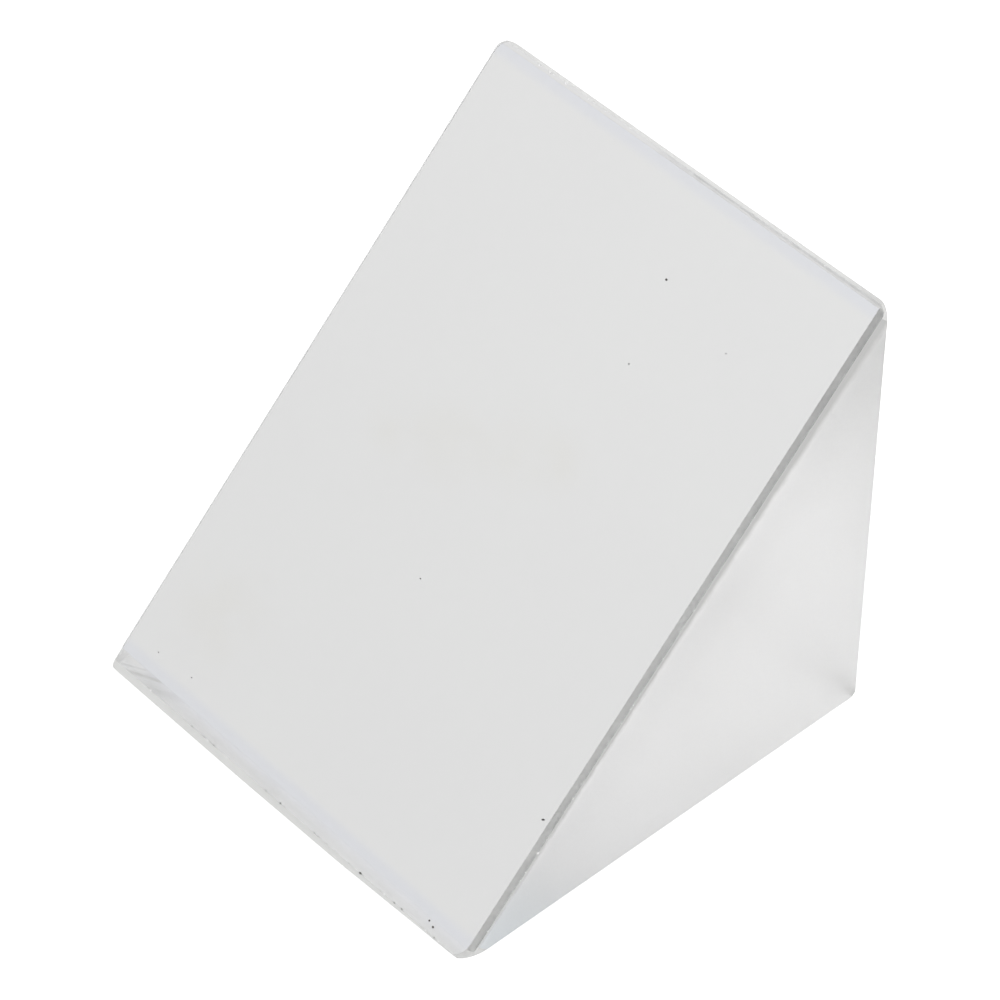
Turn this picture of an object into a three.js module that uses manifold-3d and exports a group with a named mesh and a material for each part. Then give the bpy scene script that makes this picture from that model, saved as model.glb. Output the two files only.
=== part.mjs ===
// A right-angle prism of optical glass with a mirror coating on its sloping face.
//
// Millimetres, +Z up. The prism rests on one leg face, in the plane z = 0. Its other leg face stands
// upright at the back (+Y), and its sloping face, the hypotenuse, looks to the front and up. Its length
// runs along X between two ground ends. The origin is the centre of the uncut leg face that it rests on.
//
// The glass is made as a glass shop makes it: a triangular bar is cut to length, and every edge and
// corner is then ground back by a flat lap. Each lap is a plane, so a coating that follows the glass is
// the space between two prisms ground by the same planes, moved outwards by different amounts.

import * as THREE from 'three';
import { mergeVertices } from 'three/addons/utils/BufferGeometryUtils.js';
import Module from 'manifold-3d';

// Glass block
const LEG = 25; // side of both leg faces, from sharp edge to sharp edge
const LENGTH = 24.5; // between the two ground ends

// Edge bevels, as the width ground off along each of the two faces that meet there
const END_BEVEL = 0.24; // round both triangular ends
const RIGHT_ANGLE_BEVEL = 0.25; // along the right-angle edge
const TOP_BEVEL = { onBack: 0.69, onSlope: 0.61 }; // along the upper 45 degree edge

// The lower 45 degree edge is ground by hand, in strokes that each change width along the edge. Each
// has its width on the slope at both ends, and its width on the leg face as a share of that. The last
// is a shallow stroke on the slope's side that runs wider to the left.
const BOTTOM_STROKES = [
  { left: 0.36, right: 0.36, legShare: 1 },
  { left: 0.47, right: 0.18, legShare: 1 },
  { left: 0, right: 0.55, legShare: 1 },
  { left: 0.8, right: 0.52, legShare: 0.425 },
];

// Corners dubbed round, as the radius seen square to the sloping face
const CORNER_RADIUS = {
  top: { left: 0.75, right: 0.65 },
  bottom: { left: 0.5, right: 1.2 },
  heel: { left: 0.4, right: 0.4 },
};
const CORNER_LAPS = 4; // flat laps that round each corner

// Coatings on the sloping face. The real films are under a micrometre thick: the modelled thickness
// and the gap between films stand in for films that touch.
const FILM = 0.05;
const GAP = 0.005;
const MASKED_TOP = 0.8; // clear margin under the upper 45 degree edge, measured down the slope
const MASKED_BOTTOM = { left: 1.45, right: 1.1 }; // clear margin over the lower one, measured up it

const SLOPE_LENGTH = LEG * Math.SQRT2;
const LAP_SIZE = 4 * LEG; // larger than the whole prism, so that a lap cuts right across it

const wasm = await Module();
wasm.setup();

const facing = (x, y, z, distance) => new THREE.Plane(new THREE.Vector3(x, y, z).normalize(), -distance);

const FACE = {
  rest: facing(0, 0, -1, 0),
  back: facing(0, 1, 0, LEG / 2),
  slope: facing(0, -1, 1, LEG / 2 / Math.SQRT2),
  left: facing(-1, 0, 0, LENGTH / 2),
  right: facing(1, 0, 0, LENGTH / 2),
};

// Points on the two faces beside the lower 45 degree edge, by their distance from that sharp edge.
const onSlope = (x, far) => new THREE.Vector3(x, far / Math.SQRT2 - LEG / 2, far / Math.SQRT2);
const onRest = (x, far) => new THREE.Vector3(x, far - LEG / 2, 0);

// The bevel between two faces, `cutA` wide along the first and `cutB` wide along the second.
function bevel(a, b, cutA, cutB = cutA) {
  const normal = a.normal.clone().multiplyScalar(cutA).addScaledVector(b.normal, cutB);
  const depth = cutA * cutB * Math.sin(a.normal.angleTo(b.normal));
  const constant = cutA * a.constant + cutB * b.constant + depth;
  return new THREE.Plane(normal, constant).normalize();
}

// One stroke over the lower 45 degree edge, as the plane it leaves.
function stroke({ left, right, legShare }) {
  const plane = new THREE.Plane().setFromCoplanarPoints(
    onSlope(-LENGTH / 2, left),
    onRest(0, (legShare * (left + right)) / 2),
    onSlope(LENGTH / 2, right),
  );
  return plane.normal.y < 0 ? plane : plane.negate();
}

// A plane square to the sloping face that just touches an edge bevel where it meets a leg face.
// `way` is +1 to look up the slope and -1 to look down it.
function tip(way, bevelEdge) {
  const normal = new THREE.Vector3(0, way, way).normalize();
  return new THREE.Plane().setFromNormalAndCoplanarPoint(normal, bevelEdge);
}

// The laps that round the corner between two planes at right angles, each with its own narrow bevel
// against the faces beside it.
function roundCorner(end, across, radius, besides) {
  const laps = [];
  for (let k = 1; k <= CORNER_LAPS; k++) {
    const turn = ((k - 0.5) / CORNER_LAPS) * (Math.PI / 2);
    const normal = end.normal.clone().multiplyScalar(Math.cos(turn));
    normal.addScaledVector(across.normal, Math.sin(turn));
    const inwards = Math.cos(turn) * (end.constant + radius) + Math.sin(turn) * (across.constant + radius);
    const round = new THREE.Plane(normal, inwards - radius);
    laps.push(round, ...besides.map((face) => bevel(face, round, END_BEVEL * Math.cos(turn))));
  }
  return laps;
}

// Every ground surface of the finished prism.
function groundPlanes() {
  const { rest, back, slope } = FACE;
  const heel = bevel(rest, back, RIGHT_ANGLE_BEVEL);
  const top = tip(1, new THREE.Vector3(0, LEG / 2, LEG - TOP_BEVEL.onBack));
  const bottom = tip(-1, onRest(0, BOTTOM_STROKES[0].left));
  const upper = bevel(back, slope, TOP_BEVEL.onBack, TOP_BEVEL.onSlope);
  const planes = [heel, upper, ...BOTTOM_STROKES.map(stroke)];
  for (const side of ['left', 'right']) {
    const end = FACE[side];
    planes.push(...[rest, back, slope].map((face) => bevel(face, end, END_BEVEL)));
    planes.push(...roundCorner(end, top, CORNER_RADIUS.top[side], [slope, back]));
    planes.push(...roundCorner(end, bottom, CORNER_RADIUS.bottom[side], [slope, rest]));
    planes.push(...roundCorner(end, heel, CORNER_RADIUS.heel[side], [rest, back]));
  }
  return planes;
}

// Closed three.js geometry as a manifold-3d solid, and back.
function toSolid(geometry) {
  geometry.deleteAttribute('normal');
  geometry.deleteAttribute('uv');
  const merged = mergeVertices(geometry);
  return new wasm.Manifold(
    new wasm.Mesh({
      numProp: 3,
      vertProperties: merged.attributes.position.array,
      triVerts: new Uint32Array(merged.index.array),
    }),
  );
}

function toGeometry(solid) {
  const mesh = solid.getMesh();
  const geometry = new THREE.BufferGeometry();
  geometry.setAttribute('position', new THREE.BufferAttribute(mesh.vertProperties, 3));
  geometry.setIndex(new THREE.BufferAttribute(mesh.triVerts, 1));
  const flat = geometry.toNonIndexed();
  flat.computeVertexNormals();
  return flat;
}

// The block that a lap takes away: everything on the outer side of a plane.
function lap(plane) {
  const block = new THREE.BoxGeometry(LAP_SIZE, LAP_SIZE, LAP_SIZE);
  block.translate(0, 0, LAP_SIZE / 2);
  const turn = new THREE.Quaternion().setFromUnitVectors(new THREE.Vector3(0, 0, 1), plane.normal);
  const place = plane.normal.clone().multiplyScalar(-plane.constant);
  block.applyMatrix4(new THREE.Matrix4().compose(place, turn, new THREE.Vector3(1, 1, 1)));
  return toSolid(block);
}

// The triangular bar before any edge is ground, grown outwards by `growth` on all its faces.
function bar(growth) {
  const acute = growth / Math.tan(Math.PI / 8); // how far a 45 degree edge moves out along a leg face
  const section = new THREE.Shape();
  section.moveTo(LEG / 2 + growth, -growth);
  section.lineTo(LEG / 2 + growth, LEG + acute);
  section.lineTo(-LEG / 2 - acute, -growth);
  section.closePath();
  const geometry = new THREE.ExtrudeGeometry(section, { depth: LENGTH + 2 * growth, bevelEnabled: false });
  geometry.translate(0, 0, -LENGTH / 2 - growth);
  // the section was drawn as (y, z) and drawn out along z: turn it so that its length runs along X
  geometry.applyMatrix4(new THREE.Matrix4().set(0, 0, 1, 0, 1, 0, 0, 0, 0, 1, 0, 0, 0, 0, 0, 1));
  return toSolid(geometry);
}

// The finished prism, grown outwards by `growth` on every face, bevel and corner.
function groundPrism(growth) {
  return groundPlanes().reduce((solid, plane) => {
    const moved = new THREE.Plane(plane.normal, plane.constant - growth);
    return solid.subtract(lap(moved));
  }, bar(growth));
}

// What the coating mask leaves open, as a block square to the sloping face that takes in its end bevels.
function maskOpening() {
  const reach = 1.2 * END_BEVEL;
  const outline = new THREE.Shape();
  outline.moveTo(-LENGTH / 2, MASKED_BOTTOM.left);
  outline.lineTo(LENGTH / 2, MASKED_BOTTOM.right);
  outline.lineTo(LENGTH / 2, SLOPE_LENGTH - MASKED_TOP);
  outline.lineTo(-LENGTH / 2, SLOPE_LENGTH - MASKED_TOP);
  outline.closePath();
  const block = new THREE.ExtrudeGeometry(outline, { depth: 2 * reach, bevelEnabled: false });
  block.translate(0, 0, -reach);
  block.rotateX(Math.PI / 4);
  block.translate(0, -LEG / 2, 0);
  return toSolid(block);
}

// A film over the masked sloping face and down its two end bevels. `layer` counts from the glass.
function film(layer) {
  const near = GAP + layer * (FILM + GAP);
  return groundPrism(near + FILM).subtract(groundPrism(near)).intersect(maskOpening());
}

function piece(name, solid, look) {
  const mesh = new THREE.Mesh(toGeometry(solid), new THREE.MeshStandardMaterial(look));
  mesh.name = name;
  return mesh;
}

const CROWN_GLASS = { color: 0xe4ece8, roughness: 0.05, metalness: 0, transparent: true, opacity: 0.4 };
const ALUMINIUM = { color: 0xe3e5e4, roughness: 0.04, metalness: 1 };
const CLEAR_COAT = { color: 0xe6e8f2, roughness: 0.03, metalness: 0, transparent: true, opacity: 0.2 };

const prism = new THREE.Group();
prism.name = 'survey_prism';
prism.add(piece('prism_glass', groundPrism(0), CROWN_GLASS));
prism.add(piece('mirror_coating', film(0), ALUMINIUM));
prism.add(piece('protective_overcoat', film(1), CLEAR_COAT));

export default prism;
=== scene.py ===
# A right-angle prism of optical glass with a mirror coating on its sloping face: its fine surface, its
# materials and a plain studio round it.
#
# The prism rests on one leg face in the plane z = 0, its other leg face stands at the back (+Y), its
# sloping face looks to the front and up, and its length runs along X. Shapes are worked out in
# millimetres and turned into metres when they become objects.
import math
import random
from collections import namedtuple

import bmesh
import bpy
from mathutils import Matrix, Quaternion, Vector, noise


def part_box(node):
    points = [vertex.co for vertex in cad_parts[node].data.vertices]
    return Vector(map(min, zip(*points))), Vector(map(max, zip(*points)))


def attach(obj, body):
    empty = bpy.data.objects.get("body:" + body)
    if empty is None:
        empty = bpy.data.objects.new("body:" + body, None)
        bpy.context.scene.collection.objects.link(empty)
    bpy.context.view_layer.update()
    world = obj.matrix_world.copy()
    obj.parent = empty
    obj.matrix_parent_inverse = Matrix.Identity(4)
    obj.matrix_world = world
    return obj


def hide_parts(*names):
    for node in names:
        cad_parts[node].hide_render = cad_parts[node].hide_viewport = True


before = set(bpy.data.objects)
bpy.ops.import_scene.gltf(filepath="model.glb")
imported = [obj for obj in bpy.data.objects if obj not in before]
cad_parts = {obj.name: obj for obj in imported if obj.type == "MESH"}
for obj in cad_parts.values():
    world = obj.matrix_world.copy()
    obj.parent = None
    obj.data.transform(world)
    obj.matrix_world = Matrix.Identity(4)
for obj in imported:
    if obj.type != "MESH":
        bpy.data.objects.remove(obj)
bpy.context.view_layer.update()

MM = 0.001
SQRT2 = math.sqrt(2)

# ---- The block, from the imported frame

GLASS_LOW, GLASS_HIGH = (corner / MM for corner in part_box("prism_glass"))
LEG = 2 * GLASS_HIGH.y  # the origin is the centre of the uncut leg face that the prism rests on
LENGTH = GLASS_HIGH.x - GLASS_LOW.x
SLOPE_LENGTH = LEG * SQRT2

# Edge bevels, as the width ground off along each of the two faces that meet there
END_BEVEL = 0.24
RIGHT_ANGLE_BEVEL = 0.25
TOP_BEVEL_ON_BACK = 0.69
TOP_BEVEL_ON_SLOPE = 0.61

# The lower 45 degree edge is ground by hand: each stroke's width on the slope at the left and right
# ends, and its width on the leg face as a share of that.
BOTTOM_STROKES = [(0.36, 0.36, 1), (0.47, 0.18, 1), (0, 0.55, 1), (0.8, 0.52, 0.425)]

# Corners dubbed round, as the radius seen square to the sloping face, at the left and right ends
TOP_CORNER = {"left": 0.75, "right": 0.65}
BOTTOM_CORNER = {"left": 0.5, "right": 1.2}
HEEL_CORNER = {"left": 0.4, "right": 0.4}
LAPS_PER_CORNER = 10

RAW_BLOCK = 4 * LEG  # side of the cube that the prism is ground from
TOUCHING = 1e-5  # points this close to a cut lie on it
SLIVER = 0.0002  # edges shorter than this are closed up
CREASE = math.radians(50)  # edges folded more than this stay crisp

# Coatings
FILM = 0.012  # thickness of each film
FILM_GAP = 0.002
MASKED_TOP = 0.8  # clear margin under the upper 45 degree edge, measured down the slope
MASKED_BOTTOM = {"left": 1.45, "right": 1.1}  # clear margin over the lower one, measured up it

ALONG = Vector((1, 0, 0))
UP_SLOPE = Vector((0, 1, 1)).normalized()
SLOPE_FOOT = -LEG / 2 / SQRT2  # where the sharp lower edge lies along UP_SLOPE, from the origin

# Kinds of surface: each is the place of its material in the list that a piece carries
POLISHED, END, BEVEL, CHIP, PIT, COATED, COATED_BEVEL, MARGIN = range(8)

# A flat lap grinds away everything with normal . point > distance and leaves that kind of surface.
Lap = namedtuple("Lap", "normal distance surface coated")


def lap(normal, distance, surface, coated=False):
    normal = Vector(normal)
    return Lap(normal.normalized(), distance / normal.length, surface, coated)


REST = lap((0, 0, -1), 0, POLISHED)
BACK = lap((0, 1, 0), LEG / 2, POLISHED)
SLOPE = lap((0, -1, 1), LEG / 2, POLISHED, coated=True)
ENDS = {
    "left": lap((-1, 0, 0), LENGTH / 2, END),
    "right": lap((1, 0, 0), LENGTH / 2, END),
}


def bevel(a, b, cut_a, cut_b=None):
    """The bevel between two laps' faces, cut_a wide along the first and cut_b wide along the second."""
    cut_b = cut_a if cut_b is None else cut_b
    depth = cut_a * cut_b * math.sin(a.normal.angle(b.normal))
    distance = cut_a * a.distance + cut_b * b.distance - depth
    return lap(cut_a * a.normal + cut_b * b.normal, distance, BEVEL)


def on_slope(x, far):
    """A point on the slope, by its distance from the sharp lower edge."""
    return Vector((x, far / SQRT2 - LEG / 2, far / SQRT2))


def on_rest(x, far):
    return Vector((x, far - LEG / 2, 0))


def lap_through(a, b, c):
    """The lap through three points that faces the front."""
    normal = (b - a).cross(c - a)
    normal *= -math.copysign(1, normal.y)
    return lap(normal, normal.dot(a), BEVEL)


def stroke(left, right, leg_share):
    """The lap that one stroke over the lower 45 degree edge leaves."""
    middle = on_rest(0, leg_share * (left + right) / 2)
    return lap_through(on_slope(-LENGTH / 2, left), middle, on_slope(LENGTH / 2, right))


def tip(way, touching):
    """A lap square to the slope through a point, looking up the slope if way is 1 and down it if -1."""
    normal = way * UP_SLOPE
    return lap(normal, normal.dot(touching), BEVEL)


def round_corner(end, across, radius, beside):
    """Laps that round the corner between two faces at right angles.

    Each has a narrow bevel against the faces beside it.
    """
    laps = []
    for k in range(LAPS_PER_CORNER):
        turn = (k + 0.5) / LAPS_PER_CORNER * math.pi / 2
        normal = math.cos(turn) * end.normal + math.sin(turn) * across.normal
        inwards = math.cos(turn) * (end.distance - radius)
        inwards += math.sin(turn) * (across.distance - radius)
        side = lap(normal, inwards + radius, BEVEL)
        borders = [bevel(face, side, END_BEVEL * math.cos(turn)) for face in beside]
        laps += [side, *[one._replace(coated=face.coated) for one, face in zip(borders, beside)]]
    return laps


TOP_BEVEL = bevel(BACK, SLOPE, TOP_BEVEL_ON_BACK, TOP_BEVEL_ON_SLOPE)
BOTTOM_BEVELS = [stroke(*widths) for widths in BOTTOM_STROKES]
HEEL_BEVEL = bevel(REST, BACK, RIGHT_ANGLE_BEVEL)
SLOPE_END_BEVELS = {
    side: bevel(SLOPE, end, END_BEVEL)._replace(coated=True)
    for side, end in ENDS.items()
}
LEG_END_BEVELS = {
    (name, side): bevel(face, end, END_BEVEL)
    for name, face in (("rest", REST), ("back", BACK))
    for side, end in ENDS.items()
}


def all_laps():
    top = tip(1, Vector((0, LEG / 2, LEG - TOP_BEVEL_ON_BACK)))
    bottom = tip(-1, on_rest(0, BOTTOM_STROKES[0][0]))
    beside_top = {"left": [BACK, SLOPE], "right": [BACK]}  # the right one has no bevel on the slope
    laps = [REST, BACK, SLOPE, *ENDS.values(), HEEL_BEVEL, TOP_BEVEL, *BOTTOM_BEVELS]
    laps += [*SLOPE_END_BEVELS.values(), *LEG_END_BEVELS.values()]
    for side, end in ENDS.items():
        laps += round_corner(end, top, TOP_CORNER[side], beside_top[side])
        laps += round_corner(end, bottom, BOTTOM_CORNER[side], [REST, SLOPE])
        laps += round_corner(end, HEEL_BEVEL, HEEL_CORNER[side], [REST, BACK])
    return laps


def cut_off(bm, normal, distance):
    """Takes away all that lies further out along normal than distance. Returns what the cut made."""
    cut = bmesh.ops.bisect_plane(
        bm,
        geom=bm.verts[:] + bm.edges[:] + bm.faces[:],
        dist=TOUCHING,
        plane_co=normal * distance,
        plane_no=normal,
        clear_outer=True,
    )
    return cut["geom_cut"]


def grind(bm, one, growth):
    """Grinds with a lap moved out by growth, and closes the block with its surface."""
    made = cut_off(bm, one.normal, one.distance + growth)
    rim = [item for item in made if isinstance(item, bmesh.types.BMEdge)]
    open_rim = [edge for edge in rim if edge.is_boundary]
    if open_rim:
        face = bmesh.ops.contextual_create(bm, geom=open_rim)["faces"][0]
        face.material_index = one.surface
        face[coated_layer(bm)] = int(one.coated)


def coated_layer(bm):
    return bm.faces.layers.int.get("coated") or bm.faces.layers.int.new("coated")


def ground_block(growth=0.0):
    """The whole prism, grown outwards by growth on every face."""
    bm = bmesh.new()
    coated_layer(bm)
    bmesh.ops.create_cube(bm, size=RAW_BLOCK)
    for one in all_laps():
        grind(bm, one, growth)
    bmesh.ops.recalc_face_normals(bm, faces=bm.faces[:])
    return bm


def mask_edges():
    """The straight edges of the coating mask, as points and directions that lead out of its opening."""
    left = on_slope(-LENGTH / 2, MASKED_BOTTOM["left"])
    right = on_slope(LENGTH / 2, MASKED_BOTTOM["right"])
    below = SLOPE.normal.cross(left - right).normalized()
    return [(left, below), (UP_SLOPE * (SLOPE_FOOT + SLOPE_LENGTH - MASKED_TOP), UP_SLOPE)]


def coat(bm):
    """Splits the slope and its end bevels along the mask, and marks what lies inside it as coated."""
    layer = coated_layer(bm)
    for point, outwards in mask_edges():
        faces = [face for face in bm.faces if face[layer]]
        rims = {item for face in faces for item in (*face.verts, *face.edges)}
        geometry = [*faces, *rims]
        bmesh.ops.bisect_plane(bm, geom=geometry, dist=TOUCHING, plane_co=point, plane_no=outwards)
        for face in bm.faces:
            if face[layer] and (face.calc_center_median() - point).dot(outwards) > 0:
                face[layer] = 0
                if face.material_index == POLISHED:
                    face.material_index = MARGIN
    for face in bm.faces:
        if face[layer]:
            face.material_index = COATED if face.material_index == POLISHED else COATED_BEVEL


def film_sheet(growth):
    """What the mask leaves open, as a sheet growth above the glass that stops short of the ends."""
    bm = ground_block(growth)
    coat(bm)
    layer = coated_layer(bm)
    bare = [face for face in bm.faces if not face[layer]]
    bmesh.ops.delete(bm, geom=bare, context="FACES")
    for end in ENDS.values():
        cut_off(bm, end.normal, end.distance - FILM)
    return bm


# ---- Chips and pits

CHIP_SEED = 7
UNCHIPPED = 1.5  # how far from the sharp corners the chips begin

# A run of chips where two laps meet, from start to stop along a direction, with their middling size
Chipped = namedtuple("Chipped", "first second along start stop count size surface", defaults=[CHIP])

# Specks of dust and pinholes that show on the mirror: place along X, distance up the slope, radius
SPECKS = [
    (2.2, 30.2, 0.05),
    (6.8, 29.1, 0.035),
    (2.9, 26.2, 0.035),
    (-0.3, 12.8, 0.035),
    (-7.9, 2.5, 0.035),
    (-10.2, 2.4, 0.03),
    (11.7, 7.8, 0.07),
    (9.6, 1.0, 0.09),
    (9.93, 0.85, 0.075),
]


def meet(*laps):
    """The point where three laps meet."""
    rows = Matrix([one.normal for one in laps])
    return rows.inverted() @ Vector([one.distance for one in laps])


def grain(bm, centre, size, chance, surface):
    """One lumpy grain of rock: glass that it overlaps is flaked away."""
    made = bmesh.ops.create_icosphere(bm, subdivisions=2, radius=1)["verts"]
    stretch = Vector([chance.uniform(0.6, 1.3) for _ in range(3)])
    turn = Quaternion([chance.gauss(0, 1) for _ in range(4)]).normalized()
    lumps = Vector([chance.uniform(-50, 50) for _ in range(3)])
    for vert in made:
        lump = 1 + 0.35 * noise.noise(vert.co * 1.4 + lumps)
        vert.co = centre + turn @ (vert.co * stretch) * lump * size
    for vert in made:
        for face in vert.link_faces:
            face.material_index = surface
            face.smooth = True


def chipped_edges():
    """Every bevel border, with how many chips it has along it and how large they are."""
    half = LENGTH / 2 - UNCHIPPED
    slope_half = SLOPE_LENGTH / 2 - UNCHIPPED
    leg_half = LEG / 2 - UNCHIPPED
    legs = [("rest", REST, Vector((0, 1, 0)), 0), ("back", BACK, Vector((0, 0, 1)), LEG / 2)]
    runs = [
        Chipped(SLOPE, TOP_BEVEL, ALONG, -half - 0.7, -half + 5.5, 9, 0.085),
        Chipped(SLOPE, TOP_BEVEL, ALONG, -half, half, 8, 0.04),
        Chipped(BACK, TOP_BEVEL, ALONG, -half, half, 10, 0.04),
        Chipped(SLOPE, BOTTOM_BEVELS[-1], ALONG, -half + 4, half, 26, 0.035, PIT),
        Chipped(SLOPE, BOTTOM_BEVELS[-1], ALONG, -half, half, 14, 0.05),
        Chipped(REST, BOTTOM_BEVELS[0], ALONG, -half, half, 18, 0.04),
        Chipped(REST, HEEL_BEVEL, ALONG, -half, half, 14, 0.04),
        Chipped(BACK, HEEL_BEVEL, ALONG, -half, half, 14, 0.04),
    ]
    for side, end in ENDS.items():
        edge = SLOPE_END_BEVELS[side]
        runs.append(Chipped(edge, end, UP_SLOPE, -slope_half, slope_half, 22, 0.045))
        runs.append(Chipped(SLOPE, edge, UP_SLOPE, -slope_half, slope_half, 8, 0.02))
        for name, face, along, middle in legs:
            edge = LEG_END_BEVELS[name, side]
            start, stop = middle - leg_half, middle + leg_half
            runs.append(Chipped(edge, end, along, start, stop, 12, 0.045))
            runs.append(Chipped(edge, face, along, start, stop, 8, 0.035))
    return runs


def chip_grains():
    """All the grains that flake glass off the edges or pit the slope."""
    bm = bmesh.new()
    chance = random.Random(CHIP_SEED)
    for run in chipped_edges():
        for _ in range(run.count):
            station = Lap(run.along, chance.uniform(run.start, run.stop), BEVEL, False)
            size = run.size * chance.uniform(0.5, 1.5)
            outwards = (run.first.normal + run.second.normal).normalized()
            centre = meet(run.first, run.second, station) + outwards * size * chance.uniform(0.1, 0.5)
            grain(bm, centre, size, chance, run.surface)
    for x, up, radius in SPECKS:
        grain(bm, on_slope(x, up) + SLOPE.normal * radius / 2, radius, chance, PIT)
    return bm


# ---- From bmesh to objects

def clean(mesh):
    """Closes up slivers, and makes everything smooth but creases and borders between surfaces."""
    bm = bmesh.new()
    bm.from_mesh(mesh)
    bmesh.ops.dissolve_degenerate(bm, dist=SLIVER * MM, edges=bm.edges[:])
    halfway = [vert for vert in bm.verts if len(vert.link_edges) == 2]
    bmesh.ops.dissolve_verts(bm, verts=halfway)
    for face in bm.faces:
        face.smooth = True
    for edge in bm.edges:
        kinds = {face.material_index for face in edge.link_faces}
        edge.smooth = len(kinds) == 1 and edge.calc_face_angle(0) < CREASE
    bm.to_mesh(mesh)
    bm.free()


def to_object(name, bm, materials):
    """Turns a shape in millimetres into an object in metres."""
    mesh = bpy.data.meshes.new(name)
    bm.to_mesh(mesh)
    bm.free()
    mesh.transform(Matrix.Scale(MM, 4))
    for material in materials:
        mesh.materials.append(material)
    thing = bpy.data.objects.new(name, mesh)
    bpy.context.scene.collection.objects.link(thing)
    return thing


def apply_modifiers(thing):
    bpy.context.view_layer.update()
    old = thing.data
    graph = bpy.context.evaluated_depsgraph_get()
    thing.data = bpy.data.meshes.new_from_object(thing.evaluated_get(graph))
    thing.modifiers.clear()
    bpy.data.meshes.remove(old)


def flake(thing, grains):
    """Takes the grains out of a piece."""
    cut = thing.modifiers.new("chips", "BOOLEAN")
    cut.operation = "DIFFERENCE"
    cut.solver = "EXACT"
    cut.use_self = True
    cut.object = grains
    apply_modifiers(thing)
    clean(thing.data)
    facing = thing.modifiers.new("flat faces stay flat", "WEIGHTED_NORMAL")
    facing.keep_sharp = True
    facing.weight = 100


# ---- Materials

class Nodes:
    """A node tree, with short calls for the nodes used here."""

    def __init__(self, owner):
        owner.use_nodes = True
        self.nodes = owner.node_tree.nodes
        self.links = owner.node_tree.links

    def feed(self, socket, value):
        if isinstance(value, bpy.types.NodeSocket):
            self.links.new(value, socket)
        else:
            socket.default_value = value

    def math(self, operation, *values):
        node = self.nodes.new("ShaderNodeMath")
        node.operation = operation
        for socket, value in zip(node.inputs, values):
            self.feed(socket, value)
        return node.outputs[0]

    def vector(self, operation, *values, scale=None):
        node = self.nodes.new("ShaderNodeVectorMath")
        node.operation = operation
        for socket, value in zip(node.inputs, values):
            self.feed(socket, value)
        if scale is not None:
            self.feed(node.inputs["Scale"], scale)
        return node.outputs["Value" if operation in ("DOT_PRODUCT", "DISTANCE") else "Vector"]

    def ramp(self, value, low, high, at_low=0.0, at_high=1.0):
        """A soft step: at_low where the value is up to low, and at_high where it is from high on."""
        node = self.nodes.new("ShaderNodeMapRange")
        node.interpolation_type = "SMOOTHSTEP"
        given = {"Value": value, "From Min": low, "From Max": high, "To Min": at_low, "To Max": at_high}
        for name, number in given.items():
            self.feed(node.inputs[name], number)
        return node.outputs["Result"]


class Shader(Nodes):
    """A material. Places are in millimetres."""

    def __init__(self, name):
        self.material = bpy.data.materials.new(name)
        super().__init__(self.material)
        self.surface = self.nodes["Principled BSDF"]
        metres = self.nodes.new("ShaderNodeTexCoord").outputs["Object"]
        self.place = self.vector("SCALE", metres, scale=1 / MM)
        self.x = self.along(ALONG)
        self.up = self.along(UP_SLOPE, SLOPE_FOOT)

    def set(self, **values):
        for name, value in values.items():
            self.feed(self.surface.inputs[name.replace("_", " ")], value)

    def along(self, direction, start=0.0):
        """How far a place lies along a direction, counted from start."""
        return self.math("SUBTRACT", self.vector("DOT_PRODUCT", self.place, tuple(direction)), start)

    def noise(self, scale, detail=2.0, stretch=None):
        """Cloudy noise from 0 to 1. The scale is in features per millimetre."""
        node = self.nodes.new("ShaderNodeTexNoise")
        place = self.vector("MULTIPLY", self.place, stretch) if stretch else self.place
        self.feed(node.inputs["Vector"], place)
        self.feed(node.inputs["Scale"], scale)
        self.feed(node.inputs["Detail"], detail)
        return node.outputs["Fac"]

    def spread(self, value, low, high):
        """Spreads noise, which keeps near its middle, over the whole way from low to high."""
        return self.ramp(value, 0.3, 0.7, low, high)

    def mix(self, share, first, second):
        node = self.nodes.new("ShaderNodeMix")
        node.data_type = "RGBA"
        self.feed(node.inputs["Factor"], share)
        self.feed(node.inputs["A"], first)
        self.feed(node.inputs["B"], second)
        return node.outputs["Result"]

    def streak(self, start, stop, width):
        """A soft line on the slope, 1 in its middle, between two places given by X and way up it."""
        spot = self.nodes.new("ShaderNodeCombineXYZ")
        self.feed(spot.inputs["X"], self.x)
        self.feed(spot.inputs["Y"], self.up)
        run = Vector((*stop, 0)) - Vector((*start, 0))
        away = self.vector("SUBTRACT", spot.outputs["Vector"], (*start, 0))
        share = self.vector("DOT_PRODUCT", away, tuple(run / run.length_squared))
        share = self.math("MAXIMUM", self.math("MINIMUM", share, 1), 0)
        nearest = self.vector("SCALE", tuple(run), scale=share)
        distance = self.vector("DISTANCE", away, nearest)
        return self.ramp(distance, 0.15 * width, 0.5 * width, 1.0, 0.0)

    def bump(self, height, depth):
        node = self.nodes.new("ShaderNodeBump")
        self.feed(node.inputs["Height"], height)
        self.feed(node.inputs["Distance"], depth * MM)
        self.feed(node.inputs["Strength"], 1.0)
        self.feed(self.surface.inputs["Normal"], node.outputs["Normal"])


def rgb(red, green, blue):
    return (red, green, blue, 1)


def grey(tone):
    return rgb(tone, tone, tone)


GLASS_IOR = 1.517  # borosilicate crown
HARD_FILM_IOR = 1.46
GLASS_TINT = rgb(0.985, 0.995, 0.99)
ALONG_X = (0.25, 3, 3)  # draws noise out into marks that run along the prism


def polished_glass():
    shader = Shader("polished_glass")
    haze = shader.spread(shader.noise(0.5), 0.0, 0.012)
    wipes = shader.spread(shader.noise(1.2, 3, ALONG_X), 0.0, 0.008)
    shader.set(Base_Color=GLASS_TINT, IOR=GLASS_IOR, Transmission_Weight=1.0)
    shader.set(Roughness=shader.math("ADD", haze, wipes))
    return shader.material


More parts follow.
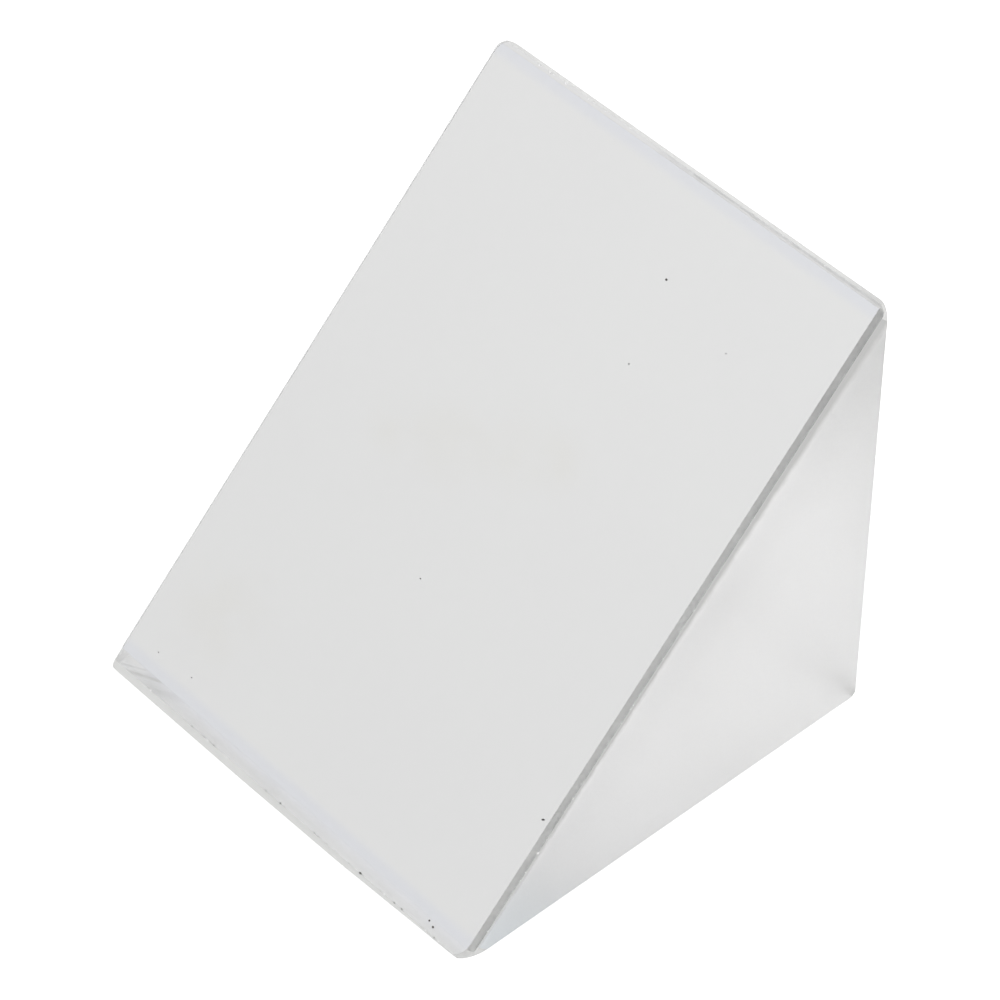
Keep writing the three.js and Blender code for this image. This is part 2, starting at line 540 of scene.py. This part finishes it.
# Painted dark streaks in the clear margins of the slope, standing in for the bevels seen through the
# glass: both ends, as X and way up the slope, and a width
PAINTED_BEVEL_STREAKS = [
    ((-11.6, 0.86), (-10.3, 1.35), 0.12),
    ((-11.0, 0.81), (-9.2, 1.4), 0.2),
    ((0.5, 34.69), (4.5, 34.69), 0.12),
    ((4.0, 34.68), (8.5, 34.7), 0.18),
    ((8.0, 34.69), (12.0, 34.7), 0.2),
]


def beyond_mask(shader):
    """How far a place on the slope lies beyond the nearer edge of the mask, below 0 inside it."""
    slant = (MASKED_BOTTOM["right"] - MASKED_BOTTOM["left"]) / LENGTH
    middle = (MASKED_BOTTOM["right"] + MASKED_BOTTOM["left"]) / 2
    lower_edge = shader.math("MULTIPLY_ADD", shader.x, slant, middle)
    below = shader.math("SUBTRACT", lower_edge, shader.up)
    above = shader.math("SUBTRACT", shader.up, SLOPE_LENGTH - MASKED_TOP)
    return shader.math("MAXIMUM", below, above)


def faded_film():
    """Glass beside the mask, where the aluminium thins out to nothing."""
    shader = Shader("faded_film")
    beyond = beyond_mask(shader)
    upper = shader.ramp(shader.up, 0.4 * SLOPE_LENGTH, 0.6 * SLOPE_LENGTH)
    lower_left = shader.ramp(shader.x, 1.2 - LENGTH / 2, 2.6 - LENGTH / 2, 1.0, 0.0)

    uneven = shader.spread(shader.noise(0.8, 3), 0.92, 1.0)
    thinning = shader.math("MULTIPLY", shader.ramp(beyond, -0.1, 0.9, 0.85, 0.5), uneven)
    upper_left = shader.math("MULTIPLY", upper, shader.ramp(shader.x, -3, 3, 0.97, 0.0))
    shader.set(Metallic=shader.math("MAXIMUM", thinning, upper_left), Roughness=0.01, IOR=GLASS_IOR)

    near_mask = rgb(0.825, 0.83, 0.855)
    far_from_mask = rgb(0.775, 0.775, 0.78)
    tint = shader.mix(shader.ramp(beyond, 0.0, 0.5), near_mask, far_from_mask)
    tint = shader.mix(shader.math("MAXIMUM", lower_left, upper), tint, grey(0.87))
    broken = shader.spread(shader.noise(1.6, 3), 0.4, 1.0)
    # painted shade: dark streaks where the bevels show through the clear margin
    for start, stop, width in PAINTED_BEVEL_STREAKS:
        dark = shader.math("MULTIPLY", shader.streak(start, stop, width), broken)
        tint = shader.mix(dark, tint, rgb(0.72, 0.72, 0.715))
    shader.set(Base_Color=tint, Transmission_Weight=1.0)
    return shader.material


def ground_bevel():
    """Finely ground glass, a little darker near the right end."""
    tone = Vector((0.7, 0.7, 0.69))
    shader = Shader("ground_bevel")
    fine = shader.noise(9, 4)
    clouds = shader.spread(shader.noise(0.35, 3), 0, 1)
    colour = shader.mix(clouds, rgb(*tone), rgb(*0.97 * tone))
    right = shader.ramp(shader.x, LENGTH / 2 - 3.5, LENGTH / 2 - 0.5)
    colour = shader.mix(right, colour, rgb(*0.8 * tone))
    shader.set(Base_Color=colour, IOR=GLASS_IOR, Transmission_Weight=0.2)
    shader.set(Roughness=shader.spread(fine, 0.42, 0.6))
    shader.bump(fine, 0.01)
    return shader.material


def overspray(shader, below):
    """How much aluminium drifted past the mask on to the end face, by the depth below the slope."""
    widening = 0.5 / SLOPE_LENGTH
    width = shader.math("MULTIPLY_ADD", shader.up, widening, END_BEVEL + 0.04)
    uneven = shader.spread(shader.noise(1.5), 0.95, 1.05)
    share = shader.math("DIVIDE", below, shader.math("MULTIPLY", width, uneven))
    return shader.ramp(share, 0.8, 1.6, 1.0, 0.0)


def ground_end():
    """A ground end face, with painted shade beside the slope and in its acute corners and a painted
    bluish tint in the lower one.
    """
    shader = Shader("ground_end")
    fine = shader.noise(9, 4)
    below = shader.along(-SLOPE.normal, -SLOPE.distance)
    clouds = shader.spread(shader.noise(0.2, 3), 0, 1)
    colour = shader.mix(clouds, rgb(0.99, 0.985, 0.985), rgb(0.98, 0.975, 0.975))
    # painted shade towards both acute corners, darkest in the upper one, and a painted bluish tint in
    # the lower one: where each begins and is full, as shares of the slope's length, and its tone
    painted_corner_tones = [
        (0.65, 0.93, rgb(0.675, 0.675, 0.67)),
        (0.45, 0, rgb(0.825, 0.825, 0.835)),
        (0.19, 0.05, rgb(0.735, 0.785, 0.825)),
    ]
    for begins, full, tone in painted_corner_tones:
        share = shader.ramp(shader.up, begins * SLOPE_LENGTH, full * SLOPE_LENGTH)
        colour = shader.mix(share, colour, tone)

    # painted shade beside the slope, deeper higher up
    beside_slope = shader.ramp(below, 0.2, 7.5, 1.0, 0.0)
    depth_of_shade = shader.ramp(shader.up, 0, 0.6 * SLOPE_LENGTH, 0.05, 0.15)
    shade = shader.math("MULTIPLY", beside_slope, depth_of_shade)
    colour = shader.vector("SCALE", colour, scale=shader.math("SUBTRACT", 1, shade))

    metal = overspray(shader, below)
    shader.set(Base_Color=shader.mix(metal, colour, rgb(0.38, 0.38, 0.375)), IOR=GLASS_IOR)
    shader.set(Transmission_Weight=shader.math("MULTIPLY_ADD", metal, -0.8, 0.8))
    shader.set(Roughness=shader.spread(fine, 0.42, 0.55))
    shader.bump(fine, 0.006)
    return shader.material


def chipped_glass():
    shader = Shader("chipped_glass")
    shells = shader.noise(14, 2)
    shader.set(Base_Color=grey(1), IOR=GLASS_IOR, Transmission_Weight=0.4)
    shader.set(Roughness=shader.spread(shells, 0.2, 0.4))
    shader.bump(shells, 0.01)
    return shader.material


def dark_pit():
    shader = Shader("dark_pit")
    shader.set(Base_Color=shader.mix(shader.noise(20), rgb(0.05, 0.045, 0.04), rgb(0.12, 0.11, 0.1)))
    shader.set(Roughness=0.7)
    return shader.material


# Faint darker, yellowish patches on the mirror: place along X, distance up the slope, radius
FAINT_PATCHES = [
    (-5.5, 17.5, 2.6),
    (-2.8, 18.6, 3.0),
    (0.2, 19.9, 3.0),
    (2.6, 20.8, 2.2),
    (-8.4, 5.6, 4.2),
]


def mirror_metal():
    shader = Shader("mirror_metal")
    clouds = shader.spread(shader.noise(0.09, 3), 0, 1)
    colour = shader.mix(clouds, rgb(0.887, 0.89, 0.886), rgb(0.882, 0.883, 0.882))
    patchy = shader.spread(shader.noise(0.5, 3), 0.2, 0.8)
    for x, up, radius in FAINT_PATCHES:
        distance = shader.vector("DISTANCE", shader.place, tuple(on_slope(x, up)))
        patch_share = shader.math("MULTIPLY", shader.ramp(distance, 0, radius, 1.0, 0.0), patchy)
        colour = shader.mix(patch_share, colour, rgb(0.868, 0.865, 0.845))
    shader.set(Base_Color=colour, Metallic=1.0)
    shader.set(Roughness=shader.spread(shader.noise(0.6), 0.02, 0.04))
    return shader.material


def metal_on_ground():
    """Aluminium over a ground bevel: dull and grainy, darker higher up and with a broken dark line
    along the end face.
    """
    shader = Shader("metal_on_ground_glass")
    fine = shader.noise(14, 1)
    grainy = shader.spread(fine, 0, 1)
    colour = shader.mix(grainy, rgb(0.42, 0.425, 0.415), rgb(0.68, 0.685, 0.675))
    upper = shader.ramp(shader.up, 0.5 * SLOPE_LENGTH, SLOPE_LENGTH, 0.0, 0.6)
    colour = shader.mix(upper, colour, rgb(0.4, 0.4, 0.395))
    off_centre = shader.math("ABSOLUTE", shader.x)
    border = shader.ramp(off_centre, LENGTH / 2 - 0.07, LENGTH / 2 - 0.03)
    dark_border_line = shader.math("MULTIPLY", border, shader.spread(shader.noise(1.2), 0.1, 0.5))
    colour = shader.mix(dark_border_line, colour, rgb(0.25, 0.25, 0.24))
    shader.set(Base_Color=colour, Metallic=1.0, Roughness=0.5)
    shader.bump(fine, 0.01)
    return shader.material


def clear_film():
    """The clear hard film, bluish where it thins out towards the mask lines."""
    shader = Shader("clear_film")
    fringe = shader.ramp(beyond_mask(shader), -0.8, -0.2)
    shader.set(Base_Color=shader.mix(fringe, grey(1), rgb(0.975, 0.98, 1)))
    shader.set(IOR=HARD_FILM_IOR, Transmission_Weight=1.0, Roughness=0.01)
    return shader.material


def film_on_ground():
    shader = Shader("clear_film_on_ground_glass")
    shader.set(Base_Color=grey(0.98), IOR=HARD_FILM_IOR, Transmission_Weight=1.0)
    shader.set(Roughness=shader.spread(shader.noise(10, 4), 0.4, 0.5))
    return shader.material


# ---- Pieces

def build_pieces():
    chip, pit = chipped_glass(), dark_pit()
    mirror, rough_mirror = mirror_metal(), metal_on_ground()
    clear, rough_clear = clear_film(), film_on_ground()

    # Each list of materials follows the kinds of surface. A film has no margin, so its list is shorter.
    glass_looks = [polished_glass(), ground_end(), ground_bevel(), chip, pit]
    glass_looks += [mirror, rough_mirror, faded_film()]
    grains = to_object("chip_grains", chip_grains(), glass_looks)

    block = ground_block()
    coat(block)
    glass = to_object("glass_block", block, glass_looks)
    flake(glass, grains)
    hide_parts("prism_glass")

    sheets = [
        ("aluminium_film", mirror, rough_mirror, "mirror_coating", "mirror_film"),
        ("clear_hard_film", clear, rough_clear, "protective_overcoat", "clear_film"),
    ]
    pieces = [glass]
    growth = FILM_GAP
    for name, smooth, rough, node, slot in sheets:
        looks = [smooth, rough, rough, chip, pit, smooth, rough]
        sheet = to_object(name, film_sheet(growth), looks)
        body = sheet.modifiers.new("thickness", "SOLIDIFY")
        body.thickness = FILM * MM
        body.offset = 1
        body.use_even_offset = True
        apply_modifiers(sheet)
        flake(sheet, grains)
        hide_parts(node)
        pieces.append(sheet)
        growth += FILM + FILM_GAP
    bpy.data.objects.remove(grains)
    for piece in pieces:
        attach(piece, "root")


# ---- Studio

# The camera, fitted to the outline in the photo. Lengths are in legs of the prism.
VIEW_AZIMUTH = math.radians(46.9686)
VIEW_ELEVATION = math.radians(44.595)
VIEW_ROLL = math.radians(0.8227)
VIEW_DISTANCE = 9.0121
VIEW_SHIFT = Vector((0.0310, -0.0157))  # to the right and up
VIEW_LENS = 181.81
NEAREST_SEEN = 0.01  # in metres


def camera():
    flat = math.cos(VIEW_ELEVATION)
    sideways, forwards = math.sin(VIEW_AZIMUTH) * flat, math.cos(VIEW_AZIMUTH) * flat
    back = Vector((sideways, -forwards, math.sin(VIEW_ELEVATION)))
    level = (-back).cross(Vector((0, 0, 1))).normalized()
    right = Quaternion(back, VIEW_ROLL) @ level
    up = back.cross(right)
    place = Vector((0, 0, 1 / 2)) + back * VIEW_DISTANCE + right * VIEW_SHIFT.x + up * VIEW_SHIFT.y
    rotation = Matrix((right, up, back)).transposed().to_4x4()
    data = bpy.data.cameras.new("camera")
    data.lens = VIEW_LENS
    data.clip_start = NEAREST_SEEN
    thing = bpy.data.objects.new("camera", data)
    thing.matrix_world = Matrix.Translation(place * LEG * MM) @ rotation
    bpy.context.scene.collection.objects.link(thing)
    bpy.context.scene.camera = thing


FLOOR_RADIUS = 3000
FLOOR_DROP = 0.02  # how far the floor lies under the prism, so that they share no surface
FLOOR_GLOW = 0.7  # the floor is a white plate lit softly from below


def floor():
    shader = Shader("pale_floor")
    colour = shader.mix(shader.noise(0.02, 2), grey(0.6), grey(0.62))
    shader.set(Base_Color=colour, Roughness=0.8)
    shader.set(Emission_Color=grey(1), Emission_Strength=FLOOR_GLOW)
    bm = bmesh.new()
    bmesh.ops.create_circle(bm, cap_ends=True, segments=96, radius=FLOOR_RADIUS)
    thing = to_object("floor", bm, [shader.material])
    thing.location.z = -FLOOR_DROP * MM


BACKDROP = 1.1  # what the camera sees past the floor
FRONT_LIGHT = (0.82, 0.865)  # pale grey front of the tent, low down and high up: the slope mirrors it
FRONT_HEIGHTS = (0.4, 0.57)  # where the one gives way to the other, as the sine of the elevation
SIDE_LIGHT = 1.35
SIDE_DIRECTION = (0.8, 0.6, 0)  # from the right and from behind
SIDE_REACH = (-0.1, 0.6)  # where the front gives way to the side, as the cosine of the angle between


def light_tent():
    """A soft white tent: brighter from the right and from behind, pale grey in front of the mirror."""
    world = bpy.data.worlds.new("light_tent")
    bpy.context.scene.world = world
    tent = Nodes(world)
    towards = tent.nodes.new("ShaderNodeTexCoord").outputs["Generated"]
    height = tent.vector("DOT_PRODUCT", towards, (0, 0, 1))
    sideways = tent.vector("DOT_PRODUCT", towards, SIDE_DIRECTION)
    light = tent.ramp(height, *FRONT_HEIGHTS, *FRONT_LIGHT)
    light = tent.ramp(sideways, *SIDE_REACH, light, SIDE_LIGHT)
    seen = tent.nodes.new("ShaderNodeLightPath").outputs["Is Camera Ray"]
    background = tent.nodes["Background"].inputs
    tent.feed(background["Color"], grey(1))
    tent.feed(background["Strength"], tent.ramp(seen, 0, 1, light, BACKDROP))


LIGHT_BOUNCES = 24  # enough for light to find its way round inside the glass

build_pieces()
floor()
light_tent()
camera()
scene = bpy.context.scene
scene.view_settings.view_transform = "Standard"
scene.cycles.max_bounces = LIGHT_BOUNCES
scene.cycles.transmission_bounces = LIGHT_BOUNCES
scene.cycles.glossy_bounces = LIGHT_BOUNCES
